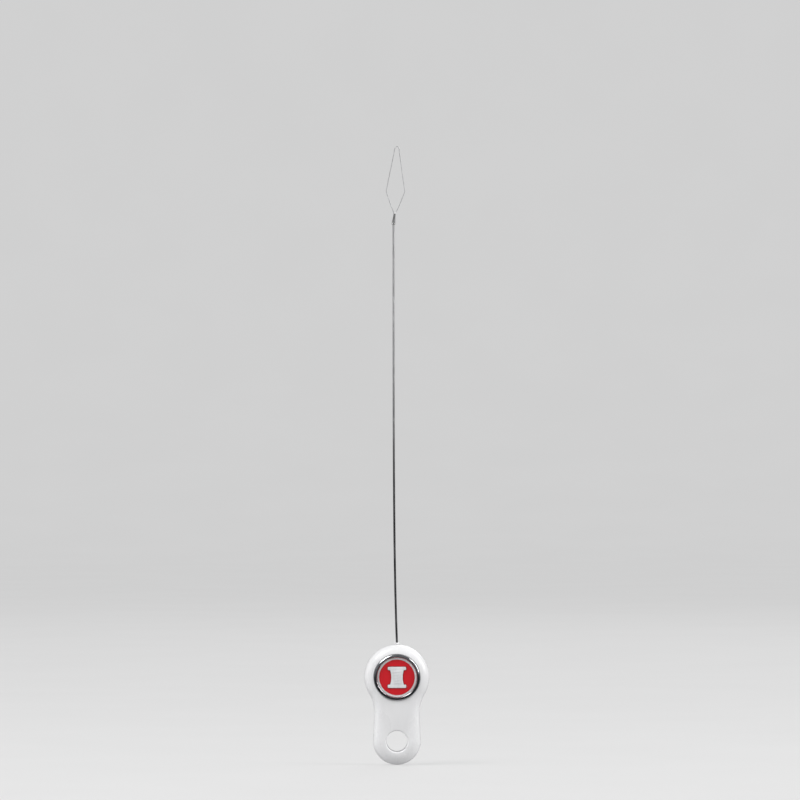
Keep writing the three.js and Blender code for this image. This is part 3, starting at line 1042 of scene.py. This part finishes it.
@dataclass(frozen=True)
class Medallion:
    """The chrome ring with its silver face, red field and raised spool, on an adhesive pad."""

    radius: float = 5.9
    lip: float = 0.85
    crest: float = 0.25
    top: float = 3.95
    floor: float = 2.44
    face_radius: float = 4.98
    face_low: float = 2.57
    face_top: float = 3.2
    field_radius: float = 4.55
    field_low: float = 3.23
    field_top: float = 3.37
    emblem_low: float = 3.4
    emblem_top: float = 3.62
    # width of the painted shade round the emblem
    border: float = 0.13
    clear: float = 0.04
    nip: float = 0.02
    layer_ease: float = 0.06
    foot_ease: float = 0.08
    bore_ease: float = 0.05
    emblem_ease: float = 0.05
    threads: int = 9
    thread_rows: int = 90
    thread_columns: int = 16
    thread_gap: float = 0.005
    thread_least: float = 0.004
    thread_deep: float = 0.07
    thread_slant: float = 0.12
    thread_inset: Flat = (0.08, 0.06)
    sides: int = 176
    sharp: float = 60.0
    spool: Spool = Spool()

    @staticmethod
    def round_about(radius: float, angle: float, out: float) -> Vector:
        """A point round the medallion's centre."""
        return face_on(radius * math.cos(angle), radius * math.sin(angle), out)

    def edge(self, radius: float, top: float) -> list[Flat]:
        """A layer's eased upper edge, as radii and heights."""
        return arc((radius - self.layer_ease, top - self.layer_ease), self.layer_ease, 0, math.pi / 2, 5)

    def bezel(self) -> Piece:
        """The ring: a lip that rounds outwards from a crest near its inner edge, over a straight wall."""
        inner, bore = self.radius - self.lip, self.face_radius + self.clear
        spring, ridge = self.top - self.lip / 2, inner + self.crest
        foot, ease = self.foot_ease, self.bore_ease
        section = [(inner + ease, self.floor), (self.radius - foot, self.floor)]
        section.append((self.radius, self.floor + foot))
        for x, y in arc((0, 0), 1, 0, math.pi, 36):
            reach = self.radius - ridge if x > 0 else self.crest
            section.append((ridge + x * reach, spring + y * self.lip / 2))
        section += [(bore, spring - 2 * ease), (bore, self.floor + ease), section[0]]
        form = Form()
        form.turn(section, self.sides, self.round_about)
        return form.piece("bezel_ring", self.sharp)

    def face(self) -> Piece:
        """The silver face: a flat round layer with an eased upper edge."""
        radius, low, top = self.face_radius, self.face_low, self.face_top
        section = [(radius - self.nip, low), (radius, low + self.nip), *self.edge(radius, top)]
        section.append((radius / 2, top))
        form = Form()
        form.turn(section, self.sides, self.round_about)
        return form.piece("silver_face", self.sharp)

    def enamel(self) -> Piece:
        """The red field, with a darker border round the emblem: painted shade where the emblem meets the
        field.
        """
        form = Form()
        layers = [(self.field_radius, self.field_low), *self.edge(self.field_radius, self.field_top)]
        rings = form.stack((circle((0, 0), radius, self.sides), out) for radius, out in layers)
        form.bands(rings)
        form.face(rings[0])
        # Painted shade: the ring round the spool gets the dark border finish.
        shade_border_outline = form.stack([(self.spool.outline(self.border), self.field_top)])
        form.fill([rings[-1], *shade_border_outline])
        form.fill(shade_border_outline, kind=1)
        return form.piece("enamel_field", self.sharp)

    def emblem(self) -> Piece:
        """The raised spool, with softened edges."""
        form = Form()
        outline = self.spool.outline()
        form.close(form.stack([(outline, self.emblem_low), (outline, self.emblem_top)]))
        piece = form.piece("emblem_spool")
        soften = piece.modifiers.new("soften", "BEVEL")
        soften.width = self.emblem_ease * MM
        soften.segments = 3
        soften.limit_method = "ANGLE"
        soften.angle_limit = math.radians(50)
        settle(piece)
        smooth(piece, 35)
        return piece

    def thread(self) -> Piece:
        """The thread wound on the spool's core: rounded turns, each on a slight slant."""
        form = Form()
        side_inset, end_inset = self.thread_inset
        low, reach = self.emblem_top + self.thread_gap, self.spool.core_top - end_inset
        rings = []
        for i in range(self.thread_rows + 1):
            up = reach * (2 * i / self.thread_rows - 1)
            half = self.spool.half_width(up) - side_inset
            top, foot = [], []
            for j in range(self.thread_columns + 1):
                across = 2 * j / self.thread_columns - 1
                phase = self.threads * (up + self.thread_slant * across) / (2 * reach)
                ends = (1 - across**6) * (1 - (up / reach) ** 16)
                swell = self.thread_deep * math.sqrt(abs(math.sin(math.pi * phase))) * ends
                top.append(face_on(half * across, up, low + self.thread_least + swell))
                foot.append(face_on(half * across, up, low))
            rings.append(form.ring([*top, *reversed(foot)]))
        form.close(rings)
        return form.piece("emblem_thread", self.sharp)

    def build(self) -> None:
        """Builds and dresses the whole medallion."""
        made = (
            (self.bezel(), (CHROME,), "medallion_bezel"),
            (self.face(), (SILVER_FACE,), "medallion_disc"),
            (self.enamel(), (RED_ENAMEL, SHADE_BORDER_ENAMEL), "medallion_enamel"),
            (self.emblem(), (EMBLEM_SILVER,), "medallion_spool_emblem"),
            (self.thread(), (EMBLEM_SILVER,), "medallion_spool_emblem"),
        )
        for piece, finishes, node in made:
            stand_for(dress(piece, *finishes), Body.HANDLE, node)
        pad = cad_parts["medallion_adhesive_pad"]
        pad.data.materials.clear()
        pad.data.materials.append(ADHESIVE.material())
        log.info("medallion_adhesive_pad stays as packed, in %s", ADHESIVE.name)


# ---------- rod and binding ----------


@dataclass(frozen=True)
class Rod:
    """The long steel rod: hooked inside the handle, bowed to the left, tapered at its tip."""

    radius: float = 0.275
    tip_radius: float = 0.1
    bow: float = 0.87
    hook_reach: float = 3.2
    hook_up: float = 3.0
    hook_bend: float = 0.9
    straight_to: float = 8.6
    bow_handles: Flat = (30.0, 62.0)
    bow_share: float = 0.996
    taper_from: float = 0.18
    tip_ease: float = 0.09
    tip_blunt: float = 0.15
    groove_clear: float = 0.04
    tip_base: Vector = field(default_factory=lambda: Vector((-0.87, 0, 116.3)))
    tip: Vector = field(default_factory=lambda: Vector((-0.56, 0, 118.7)))

    def held(self) -> list[Vector]:
        """The path inside the handle: the hook, its bend and the straight part."""
        bend = [(self.hook_bend, self.hook_up), (0, self.hook_up), (0, self.hook_up + self.hook_bend)]
        path = [Vector((self.hook_reach, 0, self.hook_up))]
        path += bezier([Vector((x, 0, z)) for x, z in bend], 14)
        return [*path, Vector((0, 0, self.straight_to))]

    def groove(self) -> Piece:
        """The channel that the rod lies in, with its clearance."""
        form = Form()
        form.sweep(self.held(), self.radius + self.groove_clear, 24)
        return form.piece("groove")

    def build(self) -> None:
        """Builds the rod in one sweep, from the hook to the pointed tip."""
        held = self.held()
        bow = [held[-1], *(Vector((-self.bow, 0, up)) for up in self.bow_handles), self.tip_base]
        shank = bezier(bow, 220, 0.0, self.bow_share)
        start, steps = self.taper_from, 16
        taper = [self.tip_base.lerp(self.tip, start + (1 - start) * i / steps) for i in range(steps + 1)]
        path = [*held[:-1], *shank, *bridge(shank, taper)[1:-1], *taper]
        length = (self.tip - self.tip_base).length
        sizes = []
        for point in path:
            share = min(1.0, max(0.0, (point.z - self.tip_base.z) / (self.tip.z - self.tip_base.z)))
            near = max(0.0, 1 - (1 - share) * length / self.tip_ease)
            rounded = max(0.0, 1 - near**2) * (1 - self.tip_blunt) + self.tip_blunt
            sizes.append((self.radius + (self.tip_radius - self.radius) * share) * math.sqrt(rounded))
        form = Form()
        form.sweep(path, sizes, 28)
        stand_for(dress(form.piece("steel_rod"), DRAWN_STEEL), Body.HANDLE, "rod")


@dataclass(frozen=True)
class Binding:
    """The loop wire's two tails, wound up the rod's tip from a bead of solder."""

    rod: Rod
    wire: float = 0.085
    turns: int = 4
    clear: float = 0.02
    starts_before: float = 0.06
    stops_short: float = 0.042
    dive: float = 1.2
    sides: int = 14
    bead_radius: float = 0.49
    bead_tall: float = 0.4
    bead_below: float = 0.3
    bead_lumps: Flat = (0.07, 0.04)
    bead_sag: float = 0.03

    def tail(self, end_angle: float) -> list[Vector]:
        """The path of one tail, from inside the bead to just short of its top.

        Args:
            end_angle: where round the rod the whole winding would end.

        Returns:
            the points along the tail.
        """
        path = []
        steps = 230
        for i in range(steps + 1):
            share = (1 + self.starts_before - self.stops_short) * i / steps - self.starts_before
            angle = end_angle - (1 - share) * self.turns * math.tau
            reach = self.rod.radius + (self.rod.tip_radius - self.rod.radius) * share
            reach += self.wire + self.clear + min(0.0, share) * self.dive
            path.append(self.rod.tip_base.lerp(self.rod.tip, share) + around(reach, angle, 0))
        return path

    def bead(self) -> Piece:
        """The solder bead: a small uneven ring that wets the lowest turns."""
        inner = self.rod.radius + self.clear
        swell, half = self.bead_radius - inner, self.bead_tall / 2
        low = self.rod.tip_base.z - self.wire - self.clear - self.bead_below
        base = Vector((self.rod.tip_base.x, 0, low))
        belly = arc((0, 0), 1, -math.pi / 2, math.pi / 2, 16)
        section = [(inner + swell * x, half * (1 + y)) for x, y in belly]

        def place(radius: float, angle: float, height: float) -> Vector:
            """A point of the bead's section, turned to an angle and made uneven."""
            broad, fine = self.bead_lumps
            proud = radius - inner
            uneven = 1 + broad * math.sin(2 * angle + 0.7) + fine * math.sin(5 * angle + 9 * height)
            sag = self.bead_sag * math.sin(angle + 2.1) * proud / swell
            return base + around(inner + proud * uneven, angle, height + sag)

        form = Form()
        form.turn([*section, section[0]], 72, place)
        return form.piece("solder_bead", 70)

    def build(self) -> None:
        """Builds the bead and both windings."""
        stand_for(dress(self.bead(), SOLDER_TIN), Body.HANDLE, "binding_solder_bead")
        for side, end_angle in (("left", math.pi), ("right", 0.0)):
            form = Form()
            form.sweep(self.tail(end_angle), self.wire, self.sides)
            winding = dress(form.piece(f"winding_{side}"), BOUND_WIRE)
            stand_for(winding, Body.HANDLE, f"binding_winding_{side}")


# ---------- loop ----------


@dataclass(frozen=True)
class Loop:
    """The springy wire loop: two bowed lower legs, two straight upper legs and a round nose.

    Each leg rides on its own body, and a short bend joins two legs; the bends ride on no body.
    """

    binding: Binding
    base_up: float = 118.85
    base_half: float = 0.23
    lean: float = math.radians(1.9)
    corner: Flat = (2.4, 5.55)
    bow: float = 0.06
    nose_half: float = 0.62
    nose_up: float = 15.9
    nose_tall: float = 1.1
    end_gap: float = 0.05
    base_bend: float = 0.36
    base_lead: float = 0.12
    corner_bend: float = 0.24
    nose_bend: float = 0.24
    nose_trim: float = math.radians(35)
    open_end: float = 0.12

    def at(self, side: float, up: float) -> Vector:
        """A point to a side of the leaning loop's middle line, and so far up along that line."""
        turn, rise = math.cos(self.lean), math.sin(self.lean)
        foot = Vector((self.binding.rod.tip.x, 0, self.base_up))
        return foot + Vector((side * turn + up * rise, 0, up * turn - side * rise))

    def lower_leg(self, side: int) -> list[Vector]:
        """The middle stretch of a lower leg, from its base bend to its corner bend.

        Args:
            side: -1 for the left and 1 for the right.

        Returns:
            its points.
        """
        foot, head = self.at(side * self.base_half, 0), self.at(side * self.corner[0], self.corner[1])
        along = (head - foot).normalized()
        out = Vector((along.z, 0, -along.x)) * (2 * self.bow * side)
        ends = (foot + along * self.end_gap, (foot + head) / 2 + out, head - along * self.end_gap)
        length = (head - foot).length
        return bezier(ends, 30, self.base_bend / length, 1 - self.corner_bend / length)

    def upper_leg(self, side: int) -> list[Vector]:
        """The middle stretch of an upper leg, from its corner bend to the nose.

        Args:
            side: -1 for the left and 1 for the right.

        Returns:
            its points.
        """
        foot = self.at(side * self.corner[0], self.corner[1])
        head = self.at(side * self.nose_half, self.nose_up)
        along = (head - foot).normalized()
        end = self.nose_bend if side < 0 else self.open_end
        start, stop = foot + along * self.corner_bend, head - along * end
        return [start.lerp(stop, i / 20) for i in range(21)]

    def arch(self) -> list[Vector]:
        """The nose's half ellipse, from left to right, short of its two ends."""
        half = arc((0, 0), 1, math.pi - self.nose_trim, self.nose_trim, 40)
        return [self.at(self.nose_half * x, self.nose_up + self.nose_tall * y) for x, y in half]

    def wire(self, name: str, path: Sequence[Vector]) -> Piece:
        """One stretch of the wire, dressed."""
        form = Form()
        form.sweep(path, self.binding.wire, self.binding.sides)
        return dress(form.piece(name), HAIR_WIRE)

    def bend(
        self, name: str, path: Sequence[Vector], one: Body, other: Body, start: Vector, end: Vector
    ) -> None:
        """A short bend between the wires of two bodies, riding on no body.

        Args:
            name: the piece's name.
            path: the points along it.
            one: the body at its first end, named in the log.
            other: the body at its last end, named in the log.
            start: not used.
            end: not used.
        """
        piece = self.wire(name, path)
        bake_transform(piece)
        log.info("%s bends between %s and %s", name, one.value, other.value)

    def build_side(self, side: int, word: str, lower: Body, upper: Body, end_angle: float) -> None:
        """Builds one side's legs with the bends at its base and corner.

        Args:
            side: -1 for the left and 1 for the right.
            word: the side's name.
            lower: the body of the lower leg.
            upper: the body of the upper leg.
            end_angle: where the tail leaves the rod.
        """
        low, high = self.lower_leg(side), self.upper_leg(side)
        base = bridge(self.binding.tail(end_angle), low, 18, 0.4)
        corner = bridge(low, high, reach=0.46)
        pivot = self.at(side * self.base_half, 0)
        start = pivot - (low[0] - pivot).normalized() * self.base_lead
        self.bend(f"base_bend_{word}", base, Body.HANDLE, lower, start, low[0])
        stand_for(self.wire(f"lower_leg_{word}", low), lower, f"loop_lower_{word}_leg")
        self.bend(f"corner_bend_{word}", corner, lower, upper, low[-1], high[0])
        stand_for(self.wire(f"upper_leg_{word}", high), upper, f"loop_upper_{word}_leg")

    def build(self) -> None:
        """Builds the whole loop. The pivot between nose and right upper leg is the open one."""
        self.build_side(-1, "left", Body.LOWER_LEFT, Body.UPPER_LEFT, math.pi)
        self.build_side(1, "right", Body.LOWER_RIGHT, Body.UPPER_RIGHT, 0.0)
        arch = self.arch()
        left, right = self.upper_leg(-1), self.upper_leg(1)
        self.bend("nose_bend_left", bridge(left, arch), Body.UPPER_LEFT, Body.NOSE, left[-1], arch[0])
        nose = [*arch, *bridge(arch, right[::-1])[1:]]
        stand_for(self.wire("nose_arch", nose), Body.NOSE, "loop_nose")


# ---------- studio ----------


@dataclass(frozen=True)
class Softbox:
    """A soft square or oblong light, aimed at a point. Metres and watts."""

    name: str
    place: Colour
    aim: Colour
    size: Flat
    power: float
    mirrored: bool = True

    def build(self) -> None:
        """Makes the light."""
        light = bpy.data.lights.new(self.name, "AREA")
        light.shape = "RECTANGLE"
        light.size, light.size_y = self.size
        light.energy = self.power
        holder = bpy.data.objects.new(self.name, light)
        holder.visible_glossy = self.mirrored
        holder.location = self.place
        holder.rotation_mode = "QUATERNION"
        holder.rotation_quaternion = (Vector(self.aim) - Vector(self.place)).to_track_quat("-Z", "Y")
        bpy.context.scene.collection.objects.link(holder)


@dataclass(frozen=True)
class Studio:
    """A pale seamless surround, soft lights and the camera. Metres."""

    floor_radius: float = 2.1
    floor_gap: float = 0.0001
    cove: float = 0.8
    wall: float = 1.6
    sides: int = 96
    lens: float = 300.0
    distance: float = 1.708
    centre: Flat = (0.00078, 0.07093)
    lights: tuple[Softbox, ...] = (
        Softbox("upper_left", (-0.42, -0.3, 0.62), (0, 0, 0.03), (0.42, 0.42), 3.3),
        Softbox("upper_right", (0.62, -0.16, 0.42), (0, 0, 0.04), (0.2, 0.62), 2.4),
        Softbox("left_fill", (-1.1, -0.3, 0.32), (0, 0, 0), (0.5, 0.5), 4.4, mirrored=False),
        Softbox("right_fill", (1.1, -0.3, 0.32), (0, 0, 0), (0.5, 0.5), 4.4, mirrored=False),
        Softbox("rear", (0.3, 0.9, 0.7), (0, 0, 0.04), (0.6, 0.6), 2.4),
    )

    def paper(self) -> bpy.types.Material:
        """Matt pale paper with a faint fibre."""
        made = bpy.data.materials.new("seamless_paper")
        tree = Tree.of(made)
        grain = MouldedGrain.on(tree, Peel=0.9, Flow=0.02)
        colour = tree.mix(grain["Tone"], (0.19, 0.19, 0.19), (0.194, 0.194, 0.194))
        glow = tree.mix(grain["Tone"], (0.5, 0.5, 0.5), (0.504, 0.504, 0.504))
        feeds = {"Base Color": colour, "Roughness": 0.9, "Specular IOR Level": 0.1}
        tree.surface(feeds | {"Emission Color": glow, "Emission Strength": 1.0})
        return made

    def surround(self) -> None:
        """A round floor that curves up into a wall on every side. Only the camera sees it."""
        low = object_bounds()[0].z - self.floor_gap
        sweep = [(self.floor_radius * share, 0.0) for share in (0.1, 0.4, 0.7, 1.0)]
        sweep += arc((self.floor_radius, self.cove), self.cove, -math.pi / 2, 0, 24)[1:]
        sweep.append((self.floor_radius + self.cove, self.cove + self.wall))
        form = Form()
        angles = [math.tau * i / self.sides for i in range(self.sides)]
        rings = [form.ring(around(r, a, low + h) / MM for a in angles) for r, h in sweep]
        form.bands(rings)
        form.face(rings[0])
        floor = form.piece("floor", 80)
        floor.data.materials.append(self.paper())
        floor.visible_diffuse = False
        floor.visible_glossy = False
        floor.visible_shadow = False
        floor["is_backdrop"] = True

    def daylight(self) -> None:
        """Even light from all round, which polished metal sees as a darker room."""
        world = bpy.data.worlds.new("studio")
        bpy.context.scene.world = world
        tree = Tree.of(world)
        rise = tree.add("SeparateXYZ", feeds={0: tree.add("TexCoord").outputs["Generated"]}).outputs[2]
        room = tree.mix(tree.span(rise, -0.05, 0.12), (0.02, 0.02, 0.022), (0.13, 0.13, 0.135))
        glossy = tree.add("LightPath").outputs["Is Glossy Ray"]
        colour = tree.mix(glossy, (0.62, 0.62, 0.625), room)
        glow = tree.add("Background", feeds={"Color": colour, "Strength": 1.0})
        tree.add("OutputWorld", feeds={"Surface": glow.outputs[0]})

    def camera(self) -> None:
        """A long lens, square on to the medallion's face."""
        data = bpy.data.cameras.new("camera")
        data.lens = self.lens
        data.sensor_width = 36.0
        data.clip_start, data.clip_end = 0.01, 20.0
        holder = bpy.data.objects.new("camera", data)
        holder.location = (self.centre[0], -self.distance, self.centre[1])
        holder.rotation_euler = (math.pi / 2, 0, 0)
        bpy.context.scene.collection.objects.link(holder)
        bpy.context.scene.camera = holder

    def build(self) -> None:
        """Sets up the surround, the lights and the camera."""
        bpy.context.scene.view_settings.view_transform = "Standard"
        self.surround()
        self.daylight()
        self.camera()
        for light in self.lights:
            light.build()


def main() -> None:
    """Builds the threader and its studio."""
    logging.basicConfig(level=logging.INFO, format="%(name)s: %(message)s")
    Studio().build()
    rod = Rod()
    binding = Binding(rod)
    Handle().build(rod)
    Medallion().build()
    rod.build()
    binding.build()
    Loop(binding).build()


if __name__ == "__main__":
    main()
